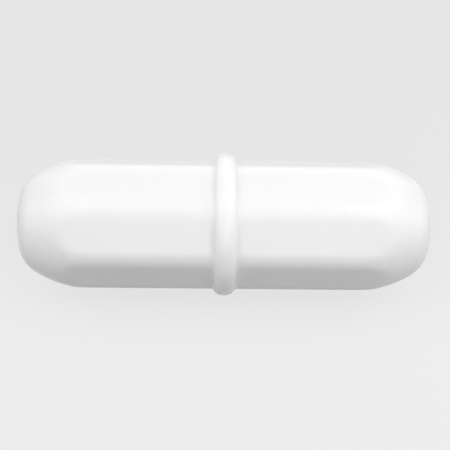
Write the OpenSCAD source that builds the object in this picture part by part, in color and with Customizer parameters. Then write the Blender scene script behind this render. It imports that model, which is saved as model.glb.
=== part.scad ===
// Magnetic stir bar, eight-sided, with a pivot ring.
//
// A cast rod magnet is sealed for good inside a one-piece white fluoropolymer
// jacket. The jacket's barrel has eight flats with softly rounded edges, its
// ends are turned round, and its ring is moulded on with it: the bar spins on
// the ring, the flats stir, and the rounded ends clear the vessel's wall.
//
// Sizes are in millimetres. The bar lies along X with +Z up and one flat down,
// and the origin is the centre of the pivot ring.

/* [Barrel] */
// Width of the barrel across two opposite flats
barrel_af = 7.75; // [6.6:0.05:12]
// Radius of the eight long edges, where one flat rolls over into the next
edge_r = 1.6; // [0.6:0.05:2.4]
// Length over both rounded ends
bar_len = 25.4; // [18:0.1:60]

/* [Rounded ends] */
// Length over which an end draws in from the barrel to its tip
end_len = 4.95; // [4.2:0.05:6.5]
// How far outside the long edges the turned ends start
end_flare = 0.09; // [0.04:0.01:0.3]
// How far the soft shoulder draws an end in before the corner takes over
shoulder_drop = 0.8; // [0.5:0.05:1.2]
// Radius of the corner between the shoulder and the nose
corner_r = 1.9; // [1.2:0.1:2.4]
// Radius of the nose, which is slightly crowned
nose_r = 14; // [8:0.5:40]

/* [Pivot ring] */
// Width of the ring along the bar
ring_w = 1.3; // [0.8:0.05:3]
// Height of the ring above the flats
ring_h = 0.575; // [0.5:0.025:1.5]
// Radius of the ring's two outer edges
ring_round = 0.3; // [0.05:0.01:0.38]
// Radius of the fillet where the ring meets the flats
ring_fillet = 0.25; // [0.05:0.01:0.6]

/* [Magnet and its pocket] */
// Jacket wall beside the magnet, at the middle of a flat
side_wall = 1.355; // [0.8:0.005:2]
// Jacket thickness at each tip, beyond the magnet
end_wall = 3.18; // [2:0.01:4.5]
// Chamfer on the magnet's two end edges
magnet_edge = 0.4; // [0.1:0.05:0.8]
// Clearance all round the magnet in its pocket
pocket_gap = 0.02; // [0.01:0.01:0.1]

/* [Hidden] */
$fn = 96;

// What is drawn to be cut off reaches this far past the piece that it cuts
past = 1;
// Round stretches are drawn this much larger, so that they cross the lines and
// arcs they join and rounding can't leave a step there.
hair = 0.0005;

// Barrel
sides = 8;
half_side = 180 / sides;
flat_r = barrel_af / 2;
edge_centre_r = (flat_r - edge_r) / cos(half_side);
edge_reach = edge_centre_r + edge_r;

// Ends
turned_r = edge_reach + end_flare;
tip_y = bar_len / 2;
shoulder_y = tip_y - end_len;

// Each end is a chain of three arcs that meet tangentially: shoulder, corner
// and nose. The corner's centre lies within the nose's circle, so the two
// touch on the line through both centres.
corner_x = turned_r - shoulder_drop - corner_r;
nose_centre = [0, tip_y - nose_r];
nose_angle = asin(corner_x / (nose_r - corner_r));
corner_centre = [corner_x, nose_centre.y + (nose_r - corner_r) * cos(nose_angle)];
nose_end = nose_centre + nose_r * [sin(nose_angle), cos(nose_angle)];

// The shoulder's circle touches the turned blank's side at shoulder_y and holds
// the corner's circle from outside. One radius does both.
corner_in = turned_r - corner_x;
corner_out = corner_centre.y - shoulder_y;
shoulder_r = (corner_in ^ 2 + corner_out ^ 2 - corner_r ^ 2) / (2 * shoulder_drop);
shoulder_centre = [turned_r - shoulder_r, shoulder_y];
shoulder_angle = atan2(corner_x - shoulder_centre.x, corner_out);
shoulder_end = shoulder_centre + shoulder_r * [sin(shoulder_angle), cos(shoulder_angle)];

// Ring
ring_r = flat_r + ring_h;
// The fillet ends where the ring's rounded edge starts
root_r = min(ring_fillet, ring_h - ring_round);
// The fillet's foot lies this far under the flats, so that it crosses them
foot_sink = 0.006;

// Magnet and its pocket
pocket_d = barrel_af - 2 * side_wall;
pocket_len = bar_len - 2 * end_wall;
magnet_d = pocket_d - 2 * pocket_gap;
magnet_len = pocket_len - 2 * pocket_gap;

// Section across the barrel: eight flats joined by rounded edges. The polygon
// has a corner where each flat ends, and a circle fills out each edge.
module barrel_section() {
  half_flat = (flat_r - edge_r) * tan(half_side);
  polygon([
    for (i = [0:sides - 1], end = [-1, 1])
      let (turn = 2 * half_side * i, along = end * half_flat)
        [flat_r * cos(turn) - along * sin(turn), flat_r * sin(turn) + along * cos(turn)]
  ]);
  for (i = [0:sides - 1])
    rotate(half_side * (2 * i + 1))
      translate([edge_centre_r, 0])
        circle(r = edge_r + hair);
}

// The profiles below are drawn in the plane that is turned about the bar's
// axis: x is the distance from the axis and y the distance from the ring's middle.

// Half of the turned blank with its rounded end
module blank_profile() {
  intersection() {
    union() {
      translate([-turned_r, 0]) square([2 * turned_r, shoulder_y]);
      // Soft shoulder
      intersection() {
        translate(shoulder_centre) circle(r = shoulder_r);
        translate([-turned_r, shoulder_y])
          square([2 * turned_r, shoulder_end.y - shoulder_y]);
      }
      // Corner
      translate(corner_centre) circle(r = corner_r + hair);
      // Crowned nose, down to the level where the shoulder ends
      intersection() {
        translate(nose_centre) circle(r = nose_r);
        translate([-nose_end.x, shoulder_end.y - corner_r])
          square([2 * nose_end.x, 2 * corner_r + end_len]);
      }
    }
    square([turned_r, tip_y]);
  }
}

// Half of the ring's width, with its rounded edge and the fillet at its root
module ring_profile() {
  half_w = ring_w / 2;
  difference() {
    square([ring_r, half_w]);
    translate([ring_r - ring_round, half_w - ring_round])
      difference() {
        square(2 * ring_round);
        circle(r = ring_round);
      }
  }
  translate([flat_r - foot_sink, half_w])
    difference() {
      translate([-root_r, -root_r]) square(2 * root_r);
      translate([root_r, root_r]) circle(r = root_r);
    }
}

// Turns a half profile and its mirror image into one solid about the axis
module turned() {
  rotate_extrude()
    for (side = [0, 1])
      mirror([0, side]) children();
}

// A round rod on the turning axis with chamfered end edges
module rod(d, len, edge) {
  r = d / 2;
  h = len / 2;
  rotate_extrude()
    polygon([[0, -h], [r - edge, -h], [r, edge - h], [r, h - edge], [r - edge, h], [0, h]]);
}

// Lays what was turned about Z along the bar's own axis
module along_bar() {
  rotate([0, 90, 0]) children();
}

module jacket() {
  color([0.96, 0.96, 0.95])
    along_bar()
      difference() {
        union() {
          intersection() {
            linear_extrude(height = bar_len + 2 * past, center = true) barrel_section();
            turned() blank_profile();
          }
          turned() ring_profile();
        }
        rod(pocket_d, pocket_len, magnet_edge);
      }
}

module magnet_core() {
  color([0.55, 0.55, 0.57])
    along_bar() rod(magnet_d, magnet_len, magnet_edge);
}

jacket();
magnet_core();
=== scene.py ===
# %% [markdown]
# # A white, eight-sided magnetic stir bar with a pivot ring
#
# The real bar is two pieces. A cast rod magnet is sealed for good inside a one-piece white
# fluoropolymer jacket. The jacket has eight flats with softly rounded long edges, two ends that
# are turned round, and a ring about its middle that the bar spins on.
#
# The CAD part is exact but plain: where a turned end cuts a flat, and where the ring's fillet
# meets a long edge, it has a sharp line. The real jacket is soft there, so this lesson builds
# a new skin for it from the same sizes, gives both pieces their finish, and lights them.

import math

import bpy
import numpy as np
from mathutils import Matrix, Vector


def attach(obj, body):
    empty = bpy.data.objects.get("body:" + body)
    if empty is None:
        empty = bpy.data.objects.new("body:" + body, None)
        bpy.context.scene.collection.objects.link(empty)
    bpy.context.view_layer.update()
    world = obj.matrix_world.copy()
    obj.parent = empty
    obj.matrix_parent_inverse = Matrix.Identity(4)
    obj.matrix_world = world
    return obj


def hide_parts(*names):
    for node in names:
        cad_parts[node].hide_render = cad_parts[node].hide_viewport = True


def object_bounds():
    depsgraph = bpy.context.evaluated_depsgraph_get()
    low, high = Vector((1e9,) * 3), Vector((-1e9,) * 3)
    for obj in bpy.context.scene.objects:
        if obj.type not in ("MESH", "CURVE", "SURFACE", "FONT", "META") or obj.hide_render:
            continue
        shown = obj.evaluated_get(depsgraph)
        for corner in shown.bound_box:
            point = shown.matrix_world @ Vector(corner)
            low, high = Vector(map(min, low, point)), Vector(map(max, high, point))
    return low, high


MM = 0.001

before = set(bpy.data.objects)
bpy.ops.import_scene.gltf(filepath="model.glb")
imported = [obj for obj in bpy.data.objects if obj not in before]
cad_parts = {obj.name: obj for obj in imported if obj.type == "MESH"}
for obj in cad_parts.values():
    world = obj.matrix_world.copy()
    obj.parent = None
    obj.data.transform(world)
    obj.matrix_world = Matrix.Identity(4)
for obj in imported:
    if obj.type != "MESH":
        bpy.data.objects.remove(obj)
jacket_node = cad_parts["jacket"]
magnet_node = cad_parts["magnet_core"]
cad_low, cad_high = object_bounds()
cad_size = cad_high - cad_low
print("CAD box in mm:", [round(v / MM, 2) for v in cad_size])

# %% [markdown]
# ## Sizes
#
# The length and the ring's diameter come from the CAD box, so they can't drift from it. The rest
# are the CAD part's own parameters, in millimetres, under the same names. Only the ring is
# softer here: its edges and its root fillet are larger, and its rim, which is flat in the CAD
# part so that it can be measured, is slightly crowned.

# %% Sizes of the stir bar
BAR_LEN = cad_size.x / MM
RING_R = -cad_low.z / MM

# Barrel: number of flats, width across two opposite ones, and radius of the long edges
SIDES = 8
BARREL_AF = 7.75
EDGE_R = 1.6

# Turned ends: their length, how far outside the long edges they start, and their three arcs
END_LEN = 4.95
END_FLARE = 0.09
SHOULDER_DROP = 0.8
CORNER_R = 1.9
NOSE_R = 14.0

# Pivot ring: its width, and the radii of its edges, its root and its rim
RING_W = 1.3
RING_ROUND = 0.4
RING_FILLET = 0.28
RING_CROWN = 1.0

# Jacket wall beside the magnet and beyond its ends, and the chamfer in the pocket
SIDE_WALL = 1.355
END_WALL = 3.18
MAGNET_EDGE = 0.4

flat_r = BARREL_AF / 2
half_side = math.pi / SIDES
edge_centre_r = (flat_r - EDGE_R) / math.cos(half_side)
edge_reach = edge_centre_r + EDGE_R
turned_r = edge_reach + END_FLARE
print("flats at", flat_r, "mm, long edges at", round(edge_reach, 3), "mm from the axis")

# %% [markdown]
# ## The section across the barrel
#
# Seen along the bar, the jacket is an octagon with rounded corners. A plain octagon with
# a bevel modifier would look much the same, but the ends and the ring have to follow the same
# outline. So the distance from the axis is worked out for any angle: along a straight flat up
# to where it ends, then along a circle.

# %% Distance from the axis to the barrel's surface
half_flat = (flat_r - EDGE_R) * math.tan(half_side)


def barrel_radius(angle):
    """Distance from the axis to the barrel's surface, for angles in radians."""
    from_flat = np.abs((angle + half_side) % (2 * half_side) - half_side)
    on_flat = flat_r / np.cos(from_flat)
    from_edge = half_side - from_flat
    across = edge_centre_r * np.sin(from_edge)
    on_edge = edge_centre_r * np.cos(from_edge) + np.sqrt(EDGE_R**2 - across**2)
    return np.where(flat_r * np.tan(from_flat) <= half_flat, on_flat, on_edge)


print("each flat is", round(2 * half_flat, 3), "mm wide between its rounded edges")

# %% [markdown]
# ## Where the points lie round the section
#
# One point falls on each line where a flat ends, so that the mesh follows the real shape there.
# A flat needs few points and a rounded edge needs many, as it is there that the light changes.

# %% Angles of the points round the section
FLAT_STEPS = 14
EDGE_STEPS = 26


def barrel_angles():
    """Angles about the axis, with one on each line between a flat and a rounded edge."""
    flat_end = math.atan2(half_flat, flat_r)
    on_flat = np.linspace(-flat_end, flat_end, FLAT_STEPS, endpoint=False)
    on_edge = np.linspace(flat_end, 2 * half_side - flat_end, EDGE_STEPS, endpoint=False)
    one_side = np.concatenate([on_flat, on_edge])
    return np.concatenate([one_side + 2 * half_side * side for side in range(SIDES)])


angles = barrel_angles()
section_r = barrel_radius(angles)
print(len(angles), "points, from", section_r.min(), "to", round(section_r.max(), 3), "mm out")

# %% [markdown]
# ## The turned end
#
# The real bar's ends are turned round, so an end has one outline on every side. It is a chain
# of three arcs that meet without a kink: a soft shoulder, a corner and a slightly crowned nose.
# It could be drawn as a curve by eye. Arcs were chosen because they are what the CAD part has,
# and the list of points below follows them from the barrel to the tip.

# %% Outline of a turned end
SHOULDER_STEPS = 44
CORNER_STEPS = 26
NOSE_STEPS = 18


def end_outline():
    """Points (x along the bar, radius) from where the end starts to just short of its tip."""
    tip = BAR_LEN / 2
    start = tip - END_LEN
    corner_y = turned_r - SHOULDER_DROP - CORNER_R
    nose_x = tip - NOSE_R
    nose_angle = math.asin(corner_y / (NOSE_R - CORNER_R))
    corner_x = nose_x + (NOSE_R - CORNER_R) * math.cos(nose_angle)
    # The shoulder starts level with the bar and touches the corner's arc
    reach = corner_x - start
    inward = turned_r - corner_y
    shoulder_r = (inward**2 + reach**2 - CORNER_R**2) / (2 * SHOULDER_DROP)
    shoulder_y = turned_r - shoulder_r
    # Each arc is followed by the lean of its surface: 0 faces straight out, a quarter turn
    # faces along the bar
    shoulder_lean = math.pi / 2 - math.atan2(corner_y - shoulder_y, reach)
    corner_lean = math.pi / 2 - nose_angle
    arcs = [
        (start, shoulder_y, shoulder_r, 0, shoulder_lean, SHOULDER_STEPS),
        (corner_x, corner_y, CORNER_R, shoulder_lean, corner_lean, CORNER_STEPS),
        (nose_x, 0, NOSE_R, corner_lean, math.pi / 2, NOSE_STEPS),
    ]
    along, out = [], []
    for centre_x, centre_y, radius, first, last, steps in arcs:
        lean = np.linspace(first, last, steps, endpoint=False)
        along.append(centre_x + radius * np.sin(lean))
        out.append(centre_y + radius * np.cos(lean))
    return np.concatenate(along), np.concatenate(out)


end_x, end_r = end_outline()
print("the end has", len(end_x), "stations, from", round(end_x[0], 3), "to", round(end_x[-1], 3))

# %% [markdown]
# ## The pivot ring
#
# The bar spins on this ring, which is moulded on with the barrel. It is round while the barrel
# has flats, so its root fillet runs lower on a flat than on a long edge. A torus joined on with
# a boolean would need its fillet added afterwards. Here the outline is followed point by point
# for each angle instead: crowned rim, rounded edge, root fillet.

# %% Outline of the ring
RING_TOP_STEPS = 7
RING_EDGE_STEPS = 12
RING_FILLET_STEPS = 10


def ring_outline():
    """Half of the ring's outline for each angle, from the middle of its rim to its foot."""
    edge_x = RING_W / 2 - RING_ROUND
    crown_y = RING_R - RING_CROWN
    crown_lean = math.asin(edge_x / (RING_CROWN - RING_ROUND))
    edge_y = crown_y + (RING_CROWN - RING_ROUND) * math.cos(crown_lean)
    # The fillet's circle touches the barrel below it and the rounded edge beside it
    rise = edge_y - section_r - RING_FILLET
    fillet_x = edge_x + np.sqrt((RING_ROUND + RING_FILLET) ** 2 - rise**2)
    fillet_y = section_r + RING_FILLET
    touch_lean = np.pi / 2 + np.arctan2(rise, fillet_x - edge_x)
    along, out = [], []
    for lean in np.linspace(0, crown_lean, RING_TOP_STEPS, endpoint=False):
        along.append(np.full_like(section_r, RING_CROWN * math.sin(lean)))
        out.append(np.full_like(section_r, crown_y + RING_CROWN * math.cos(lean)))
    for share in np.linspace(0, 1, RING_EDGE_STEPS, endpoint=False):
        lean = crown_lean + (touch_lean - crown_lean) * share
        along.append(edge_x + RING_ROUND * np.sin(lean))
        out.append(edge_y + RING_ROUND * np.cos(lean))
    for share in np.linspace(1, 0, RING_FILLET_STEPS):
        lean = touch_lean * share
        along.append(fillet_x - RING_FILLET * np.sin(lean))
        out.append(fillet_y - RING_FILLET * np.cos(lean))
    return along, out


ring_x, ring_r = ring_outline()
ring_foot = ring_x[-1]
print("ring's foot from", round(ring_foot.min(), 3), "to", round(ring_foot.max(), 3), "mm")

# %% [markdown]
# ## From the ring to the tip
#
# Where an end meets the flats, the smaller radius of the two wins, as it does when a moulded bar
# is turned down. A soft minimum rounds off the line between them. It was chosen instead of
# a bevel modifier because its width stays even along a line that fades out, such as the scallop
# where a flat ends.

# %% Stations of half the skin
SOFT_LINE = 0.09
BARREL_STEPS = 26


def soft_min(first, second, width):
    """The smaller of two values, rounded off where they are closer than width."""
    share = np.clip(0.5 + 0.5 * (second - first) / width, 0, 1)
    return second * (1 - share) + first * share - width * share * (1 - share)


def half_skin():
    """Stations from the ring's middle to just short of a tip: x and radius for each angle."""
    along, out = list(ring_x), list(ring_r)
    for share in np.linspace(0, 1, BARREL_STEPS, endpoint=False)[1:]:
        along.append(ring_foot + (end_x[0] - ring_foot) * share)
        out.append(soft_min(section_r, turned_r, SOFT_LINE))
    for station_x, station_r in zip(end_x, end_r):
        along.append(np.full_like(section_r, station_x))
        out.append(soft_min(section_r, station_r, SOFT_LINE))
    return np.array(along), np.array(out)


skin_x, skin_r = half_skin()
print("half the skin has", len(skin_x), "stations")

# %% [markdown]
# ## From stations to a closed surface
#
# The skin is a grid: rings of points round the bar, from one tip to the other, with one point
# at each tip. The screw or spin tools make such a grid too, but only of a round shape. Here each
# station has its own radius for each angle.

# %% Faces between the stations


def turned_mesh(along, out, around_angles, tip_x, inward=False):
    """Vertices and faces of a closed skin, mirrored about x = 0, with a point at each tip."""
    along = np.concatenate([-along[:0:-1], along])
    out = np.concatenate([out[:0:-1], out])
    stations, around = along.shape
    across, up = out * np.sin(around_angles), out * np.cos(around_angles)
    grid = np.stack([along, across, up], axis=-1).reshape(-1, 3)
    verts = np.concatenate([grid, [[-tip_x, 0, 0], [tip_x, 0, 0]]]) * MM
    left_tip, right_tip = len(grid), len(grid) + 1
    last = (stations - 1) * around
    faces = []
    for here in range(0, last, around):
        there = here + around
        for k in range(around):
            beside = (k + 1) % around
            faces.append((here + k, there + k, there + beside, here + beside))
    for k in range(around):
        beside = (k + 1) % around
        faces.append((left_tip, k, beside))
        faces.append((right_tip, last + beside, last + k))
    if inward:
        faces = [tuple(reversed(face)) for face in faces]
    return verts, faces


skin_verts, skin_faces = turned_mesh(skin_x, skin_r, angles, BAR_LEN / 2)
print("outer skin:", len(skin_verts), "points,", len(skin_faces), "faces")

# %% [markdown]
# ## The sealed pocket
#
# The jacket is moulded shut round its magnet. The pocket could be left out, because nothing
# shows it. It is kept as a second, closed surface in the same mesh, facing inwards, so that
# a cut through the jacket shows its true wall.

# %% Wall of the pocket
POCKET_AROUND = 64

pocket_r = flat_r - SIDE_WALL
pocket_half = BAR_LEN / 2 - END_WALL
pocket_x = np.array([[0], [pocket_half - MAGNET_EDGE], [pocket_half]])
pocket_out = np.array([[pocket_r], [pocket_r], [pocket_r - MAGNET_EDGE]])
pocket_angles = np.linspace(0, 2 * math.pi, POCKET_AROUND, endpoint=False)
pocket_verts, pocket_faces = turned_mesh(
    np.tile(pocket_x, POCKET_AROUND),
    np.tile(pocket_out, POCKET_AROUND),
    pocket_angles,
    pocket_half,
    inward=True,
)
print("pocket:", round(2 * pocket_r, 3), "x", round(2 * pocket_half, 3), "mm")

# %% [markdown]
# ## One mesh for the jacket
#
# The real jacket is one moulded piece, so it is one object here: skin and pocket go into one
# mesh. It replaces the CAD jacket and rides on the same body.
#
# Its volume should come close to the CAD solid's. That is a quick test that every face looks
# the right way: a mesh that is inside out looks the same in a render, but its volume comes out
# negative, and it shows its hollow side in programs that draw only the fronts of faces.

# %% Make the jacket
all_verts = np.concatenate([skin_verts, pocket_verts])
all_faces = skin_faces + [tuple(v + len(skin_verts) for v in face) for face in pocket_faces]

skin_mesh = bpy.data.meshes.new("moulded_jacket")
skin_mesh.from_pydata(all_verts.tolist(), [], all_faces)
skin_mesh.shade_smooth()
skin_mesh.update()
moulded_jacket = bpy.data.objects.new("moulded_jacket", skin_mesh)
bpy.context.scene.collection.objects.link(moulded_jacket)
for face in skin_mesh.polygons[len(skin_faces):]:
    face.use_smooth = False
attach(moulded_jacket, "root")
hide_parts("jacket")


def enclosed_volume(verts, faces):
    """Volume inside closed surfaces, from one tetrahedron to the origin for each triangle."""
    corners = [Vector(v) for v in verts]
    return sum(
        corners[face[0]].cross(corners[face[i]]).dot(corners[face[i + 1]]) / 6
        for face in faces
        for i in range(1, len(face) - 1)
    )


jacket_volume = enclosed_volume(all_verts, all_faces) / MM**3
print("jacket volume:", round(jacket_volume, 1), "mm3; faces:", len(all_faces))

# %% [markdown]
# ## Fine surface detail
#
# Moulded fluoropolymer is waxy. It has faint cloudiness, a slightly uneven gloss and no grain.
# Painted textures could give that, but noise needs no picture and works at any distance. One
# node group makes the three as plain values, and each material decides what to do with them.
# Its scale is the number of noise cells to a metre. A cast and ground magnet uses the same
# group with other amounts.

# %% A node group for small unevenness
# For each output: how fine its noise is beside the group's scale, and how many layers it has
NOISES = (("Cloud", 1.0, 3.0), ("Gloss", 2.3, 4.0), ("Height", 5.0, 5.0))
NOISE_ROUGHNESS = 0.55


def surface_detail_group():
    """Group: Scale in; Cloud, Gloss and Height out, each about 0.5 and between 0 and 1."""
    group = bpy.data.node_groups.new("surface_detail", "ShaderNodeTree")
    group.interface.new_socket("Scale", in_out="INPUT", socket_type="NodeSocketFloat")
    for name, _, _ in NOISES:
        group.interface.new_socket(name, in_out="OUTPUT", socket_type="NodeSocketFloat")
    nodes, links = group.nodes, group.links
    inputs = nodes.new("NodeGroupInput")
    outputs = nodes.new("NodeGroupOutput")
    place = nodes.new("ShaderNodeTexCoord")
    for name, fineness, layers in NOISES:
        scale = nodes.new("ShaderNodeMath")
        scale.operation = "MULTIPLY"
        scale.inputs[1].default_value = fineness
        noise = nodes.new("ShaderNodeTexNoise")
        noise.inputs["Detail"].default_value = layers
        noise.inputs["Roughness"].default_value = NOISE_ROUGHNESS
        links.new(inputs.outputs["Scale"], scale.inputs[0])
        links.new(scale.outputs["Value"], noise.inputs["Scale"])
        links.new(place.outputs["Object"], noise.inputs["Vector"])
        links.new(noise.outputs["Fac"], outputs.inputs[name])
    return group


detail_group = surface_detail_group()
print("node group:", detail_group.name, "with", len(detail_group.nodes), "nodes")

# %% [markdown]
# ## A finish that is never quite even
#
# Both finishes are built alike, so one function makes them: colour, roughness and a very low
# relief each drift between two values, by the group above. Only the values differ. The magnet
# comes first: bare cast alloy, ground to size, which is grey, metallic and a little rough.

# %% Cast alloy


def detailed_material(name, scale, shades, gloss, relief_height):
    """Principled material with two shades, two roughnesses and a relief height in mm."""
    material = bpy.data.materials.new(name)
    material.use_nodes = True
    nodes, links = material.node_tree.nodes, material.node_tree.links
    shader = nodes["Principled BSDF"]
    detail = nodes.new("ShaderNodeGroup")
    detail.node_tree = detail_group
    detail.inputs["Scale"].default_value = scale
    colour = nodes.new("ShaderNodeMix")
    colour.data_type = "RGBA"
    colour.inputs["A"].default_value = (*shades[0], 1)
    colour.inputs["B"].default_value = (*shades[1], 1)
    rough = nodes.new("ShaderNodeMapRange")
    rough.inputs["To Min"].default_value = gloss[0]
    rough.inputs["To Max"].default_value = gloss[1]
    relief = nodes.new("ShaderNodeBump")
    relief.inputs["Strength"].default_value = 1.0
    relief.inputs["Distance"].default_value = relief_height * MM
    links.new(detail.outputs["Cloud"], colour.inputs["Factor"])
    links.new(detail.outputs["Gloss"], rough.inputs["Value"])
    links.new(detail.outputs["Height"], relief.inputs["Height"])
    links.new(colour.outputs["Result"], shader.inputs["Base Color"])
    links.new(rough.outputs["Result"], shader.inputs["Roughness"])
    links.new(relief.outputs["Normal"], shader.inputs["Normal"])
    return material, shader


cast_alloy, magnet_shader = detailed_material(
    "cast_alloy_magnet",
    scale=900,
    shades=((0.36, 0.355, 0.35), (0.5, 0.495, 0.485)),
    gloss=(0.3, 0.5),
    relief_height=0.01,
)
magnet_shader.inputs["Metallic"].default_value = 1.0
print("made", cast_alloy.name)

# %% [markdown]
# ## White fluoropolymer
#
# The jacket is a bright, neutral white with a soft gloss and a low index of refraction. A little
# light passes just under its surface. It goes deeper into the ring, which is solid, than into
# the wall beside the magnet, so the ring stays paler below than the barrel does.
#
# A second material for the ring would show a line at its foot. So the depth of the scatter
# changes smoothly along the bar, just past the fillet.

# %% White fluoropolymer
JACKET_IOR = 1.37
BARREL_SCATTER = 0.3
RING_SCATTER = 0.8
SCATTER_FADE_START = RING_W / 2 + RING_FILLET
SCATTER_FADE_END = SCATTER_FADE_START + 2 * RING_FILLET

fluoropolymer, jacket_shader = detailed_material(
    "white_fluoropolymer",
    scale=220,
    shades=((0.915, 0.915, 0.912), (0.94, 0.94, 0.937)),
    gloss=(0.2, 0.28),
    relief_height=0.001,
)
jacket_shader.inputs["IOR"].default_value = JACKET_IOR
jacket_shader.inputs["Subsurface Weight"].default_value = 1.0
jacket_shader.inputs["Subsurface Radius"].default_value = (1, 1, 1)


def scatter_deeper_in_ring(material, shader):
    """Light goes deeper into the ring than into the barrel's wall."""
    nodes, links = material.node_tree.nodes, material.node_tree.links
    place = nodes.new("ShaderNodeTexCoord")
    split = nodes.new("ShaderNodeSeparateXYZ")
    off_middle = nodes.new("ShaderNodeMath")
    off_middle.operation = "ABSOLUTE"
    depth = nodes.new("ShaderNodeMapRange")
    depth.interpolation_type = "SMOOTHSTEP"
    depth.inputs["From Min"].default_value = SCATTER_FADE_START * MM
    depth.inputs["From Max"].default_value = SCATTER_FADE_END * MM
    depth.inputs["To Min"].default_value = RING_SCATTER * MM
    depth.inputs["To Max"].default_value = BARREL_SCATTER * MM
    links.new(place.outputs["Object"], split.inputs["Vector"])
    links.new(split.outputs["X"], off_middle.inputs[0])
    links.new(off_middle.outputs["Value"], depth.inputs["Value"])
    links.new(depth.outputs["Result"], shader.inputs["Subsurface Scale"])


scatter_deeper_in_ring(fluoropolymer, jacket_shader)
print("light scatters", BARREL_SCATTER, "mm deep in the barrel,", RING_SCATTER, "in the ring")

# %% [markdown]
# ## Put the finishes on
#
# The new skin and the CAD jacket that it replaces get the same white, and the magnet its alloy.

# %% Put the materials on


def put_material(mesh, material):
    """Every slot of a mesh gets the same material."""
    if not mesh.materials:
        mesh.materials.append(material)
    for i in range(len(mesh.materials)):
        mesh.materials[i] = material


put_material(skin_mesh, fluoropolymer)
put_material(jacket_node.data, fluoropolymer)
put_material(magnet_node.data, cast_alloy)
print("materials:", fluoropolymer.name, cast_alloy.name)

# %% [markdown]
# ## The floor
#
# The bar stands on its ring on a plain pale floor, so the floor lies at the CAD box's lowest
# level. It is large enough that the main view sees nothing else.

# %% The floor's plane
FLOOR_SPAN = 1.5

floor_z = cad_low.z
floor_corners = [
    (-FLOOR_SPAN, -FLOOR_SPAN, floor_z),
    (FLOOR_SPAN, -FLOOR_SPAN, floor_z),
    (FLOOR_SPAN, FLOOR_SPAN, floor_z),
    (-FLOOR_SPAN, FLOOR_SPAN, floor_z),
]
floor_mesh = bpy.data.meshes.new("floor")
floor_mesh.from_pydata(floor_corners, [], [(0, 1, 2, 3)])
floor = bpy.data.objects.new("floor", floor_mesh)
bpy.context.scene.collection.objects.link(floor)
print("floor at z =", round(floor_z / MM, 3), "mm")

# %% [markdown]
# ## The floor's finish
#
# A white floor throws so much light up that the bar's lower flats lose their shade. A dark one
# doesn't look like the white cloth of a studio. So the floor does both: to the camera and in
# reflections it is pale and mostly lit by itself, which keeps it even while a part of the bar's
# shadow stays, and to all other light it is a darker matt grey. Its own light is a little
# stronger in front of the bar than behind it.
#
# It takes two helpers: a matt grey shader, and the light of the floor's own.

# %% Matt grey, and a light of its own
MATT_ROUGHNESS = 0.7
MATT_SPECULAR = 0.1
GLOW_BACK = 0.79
GLOW_FRONT = 0.85
GLOW_FADE_BACK = 10.0
GLOW_FADE_FRONT = -5.0


def matt_shader(nodes, albedo):
    """Matt grey Principled shader."""
    shader = nodes.new("ShaderNodeBsdfPrincipled")
    shader.inputs["Base Color"].default_value = (albedo, albedo, albedo, 1)
    shader.inputs["Roughness"].default_value = MATT_ROUGHNESS
    shader.inputs["Specular IOR Level"].default_value = MATT_SPECULAR
    return shader


def floor_glow(nodes, links):
    """Light of the floor's own, which fades from the front of the bar to its back."""
    glow = nodes.new("ShaderNodeEmission")
    glow.inputs["Color"].default_value = (1, 1, 1, 1)
    place = nodes.new("ShaderNodeTexCoord")
    split = nodes.new("ShaderNodeSeparateXYZ")
    fade = nodes.new("ShaderNodeMapRange")
    fade.interpolation_type = "SMOOTHSTEP"
    fade.inputs["From Min"].default_value = GLOW_FADE_BACK * MM
    fade.inputs["From Max"].default_value = GLOW_FADE_FRONT * MM
    fade.inputs["To Min"].default_value = GLOW_BACK
    fade.inputs["To Max"].default_value = GLOW_FRONT
    links.new(place.outputs["Object"], split.inputs["Vector"])
    links.new(split.outputs["Y"], fade.inputs["Value"])
    links.new(fade.outputs["Result"], glow.inputs["Strength"])
    return glow


print("the floor glows", GLOW_BACK, "behind the bar and", GLOW_FRONT, "in front of it")

# %% [markdown]
# ## One floor for the eye, another for the light
#
# The Light Path node tells what kind of ray has reached the floor. Camera rays and glossy rays
# get the pale floor, all others the grey one. A second, hidden plane could throw the grey light
# instead, but then the two would have to be kept apart.

# %% The floor's material
BOUNCE_ALBEDO = 0.27
SEEN_ALBEDO = 0.8
GLOW_SHARE = 0.85


def floor_material():
    """Pale for the camera and for reflections; darker for the light it throws up."""
    material = bpy.data.materials.new("pale_floor")
    material.use_nodes = True
    nodes, links = material.node_tree.nodes, material.node_tree.links
    nodes.clear()
    output = nodes.new("ShaderNodeOutputMaterial")
    bounce = matt_shader(nodes, BOUNCE_ALBEDO)
    seen = matt_shader(nodes, SEEN_ALBEDO)
    glow = floor_glow(nodes, links)
    pale = nodes.new("ShaderNodeMixShader")
    pale.inputs["Fac"].default_value = GLOW_SHARE
    rays = nodes.new("ShaderNodeLightPath")
    looked_at = nodes.new("ShaderNodeMath")
    looked_at.operation = "MAXIMUM"
    choose = nodes.new("ShaderNodeMixShader")
    links.new(rays.outputs["Is Camera Ray"], looked_at.inputs[0])
    links.new(rays.outputs["Is Glossy Ray"], looked_at.inputs[1])
    links.new(seen.outputs["BSDF"], pale.inputs[1])
    links.new(glow.outputs["Emission"], pale.inputs[2])
    links.new(looked_at.outputs["Value"], choose.inputs["Fac"])
    links.new(bounce.outputs["BSDF"], choose.inputs[1])
    links.new(pale.outputs["Shader"], choose.inputs[2])
    links.new(choose.outputs["Shader"], output.inputs["Surface"])
    return material


floor_mesh.materials.append(floor_material())
print("floor material:", floor_mesh.materials[0].name)

# %% [markdown]
# ## The world
#
# The world stands for the cloth all round, which gives a low, even light. Past the floor's far
# edge the camera would see it as a dark band, so to the camera alone it is as pale as the far
# floor.

# %% The world
WORLD_LEVEL = 0.22
WORLD_SEEN_LEVEL = 0.7


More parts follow.
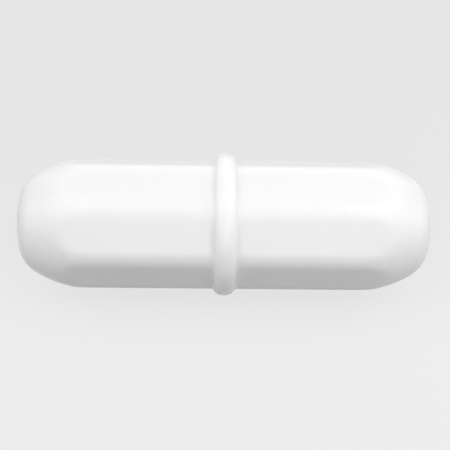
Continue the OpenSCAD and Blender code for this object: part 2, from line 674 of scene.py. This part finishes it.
def studio_world():
    """Even light from every side, which the camera sees as pale as the far floor."""
    world = bpy.data.worlds.new("studio")
    world.use_nodes = True
    nodes, links = world.node_tree.nodes, world.node_tree.links
    background = nodes["Background"]
    background.inputs["Color"].default_value = (1, 1, 1, 1)
    rays = nodes.new("ShaderNodeLightPath")
    strength = nodes.new("ShaderNodeMapRange")
    strength.inputs["To Min"].default_value = WORLD_LEVEL
    strength.inputs["To Max"].default_value = WORLD_SEEN_LEVEL
    links.new(rays.outputs["Is Camera Ray"], strength.inputs["Value"])
    links.new(strength.outputs["Result"], background.inputs["Strength"])
    return world


bpy.context.scene.world = studio_world()
print("world:", bpy.context.scene.world.name, "at", WORLD_LEVEL)

# %% [markdown]
# ## Light
#
# A small white object like this is lit inside a light tent: white cloth all round, with a gap
# for the camera. A single lamp would give it a hot spot and a hard shadow. The tent is made here
# of soft panels that stand round the bar on a dome and face it.
#
# A panel's level is how bright it would look itself, and 1 is plain white. Most of the light
# comes from high on both sides. The low panels behind the bar give its upper edge a clean rim.
# Two small panels stand near its right end and make that end a little brighter than the left.

# %% Lights
DOME_DISTANCE = 150.0
NEAR_DISTANCE = 60.0

# Width and height of the panels in mm, by how high they stand
CEILING = (160, 160)
HIGH = (100, 100)
MIDDLE = (80, 80)
LOW = (80, 65)
NEAR_MIDDLE = (32, 32)
NEAR_LOW = (32, 26)


def panel(name, azimuth, elevation, size, level, distance=DOME_DISTANCE):
    """Soft panel facing the bar. Azimuth 0 is in front of it, 90 at its right, 180 behind it."""
    turn, rise = math.radians(azimuth), math.radians(elevation)
    outward = Vector(
        (math.sin(turn) * math.cos(rise), -math.cos(turn) * math.cos(rise), math.sin(rise))
    )
    light = bpy.data.lights.new(name, "AREA")
    light.shape = "RECTANGLE"
    light.size = size[0] * MM
    light.size_y = size[1] * MM
    light.energy = level * math.pi * light.size * light.size_y
    lamp = bpy.data.objects.new(name, light)
    bpy.context.scene.collection.objects.link(lamp)
    lamp.location = outward * distance * MM
    lamp.rotation_mode = "QUATERNION"
    lamp.rotation_quaternion = (-outward).to_track_quat("-Z", "Y")
    lamp.visible_camera = False


panel("top", 0, 90, CEILING, 0.45)
panel("high_left", 270, 62, HIGH, 1.76)
panel("high_right", 90, 62, HIGH, 1.68)
panel("high_front_right", 45, 62, HIGH, 0.58)
panel("middle_front", 0, 38, MIDDLE, 1.9)
panel("middle_left", 270, 38, MIDDLE, 0.75)
panel("near_right", 90, 38, NEAR_MIDDLE, 1.0, distance=NEAR_DISTANCE)
panel("near_front_right", 50, 15, NEAR_LOW, 0.4, distance=NEAR_DISTANCE)
panel("low_left", 270, 13, LOW, 1.4)
panel("low_right", 90, 13, LOW, 1.3)
panel("low_back_left", 210, 13, LOW, 0.75)
panel("low_back", 180, 13, LOW, 1.9)
panel("low_back_right", 150, 13, LOW, 1.1)

# %% [markdown]
# ## Camera
#
# The camera looks down at the bar from the front with a long lens, 60 mm away. It is turned
# a little to one side, so the right end is further off, and leans by less than a degree. It
# could be aimed with a track constraint. Its three axes are worked out instead, because the
# turn and the lean are then plain numbers.

# %% Camera
# Distance and shifts in mm, angles in radians
CAMERA_DISTANCE = 60.0
ELEVATION = math.radians(56.5)
YAW = 0.030
ROLL = 0.011
ACROSS = 0.0454
ABOVE = -0.0513
LENS = 76.61
SENSOR = 36.0
NEAREST = 0.001
FARTHEST = 10.0

level_right = Vector((1, 0, 0))
level_forward = Vector((0, math.cos(ELEVATION), -math.sin(ELEVATION)))
level_up = Vector((0, math.sin(ELEVATION), math.cos(ELEVATION)))
turned_right = math.cos(YAW) * level_right - math.sin(YAW) * level_forward
forward = math.sin(YAW) * level_right + math.cos(YAW) * level_forward
right = math.cos(ROLL) * turned_right + math.sin(ROLL) * level_up
up = -math.sin(ROLL) * turned_right + math.cos(ROLL) * level_up
eye = -CAMERA_DISTANCE * forward + ACROSS * right + ABOVE * up

camera_data = bpy.data.cameras.new("camera")
camera_data.lens = LENS
camera_data.sensor_width = SENSOR
camera_data.clip_start = NEAREST
camera_data.clip_end = FARTHEST
camera = bpy.data.objects.new("camera", camera_data)
camera.matrix_world = (
    Matrix.Translation(eye * MM) @ Matrix((right, up, -forward)).transposed().to_4x4()
)
bpy.context.scene.collection.objects.link(camera)
bpy.context.scene.camera = camera
bpy.context.scene.view_settings.view_transform = "Standard"
print("camera at", [round(v, 4) for v in camera.matrix_world.translation])
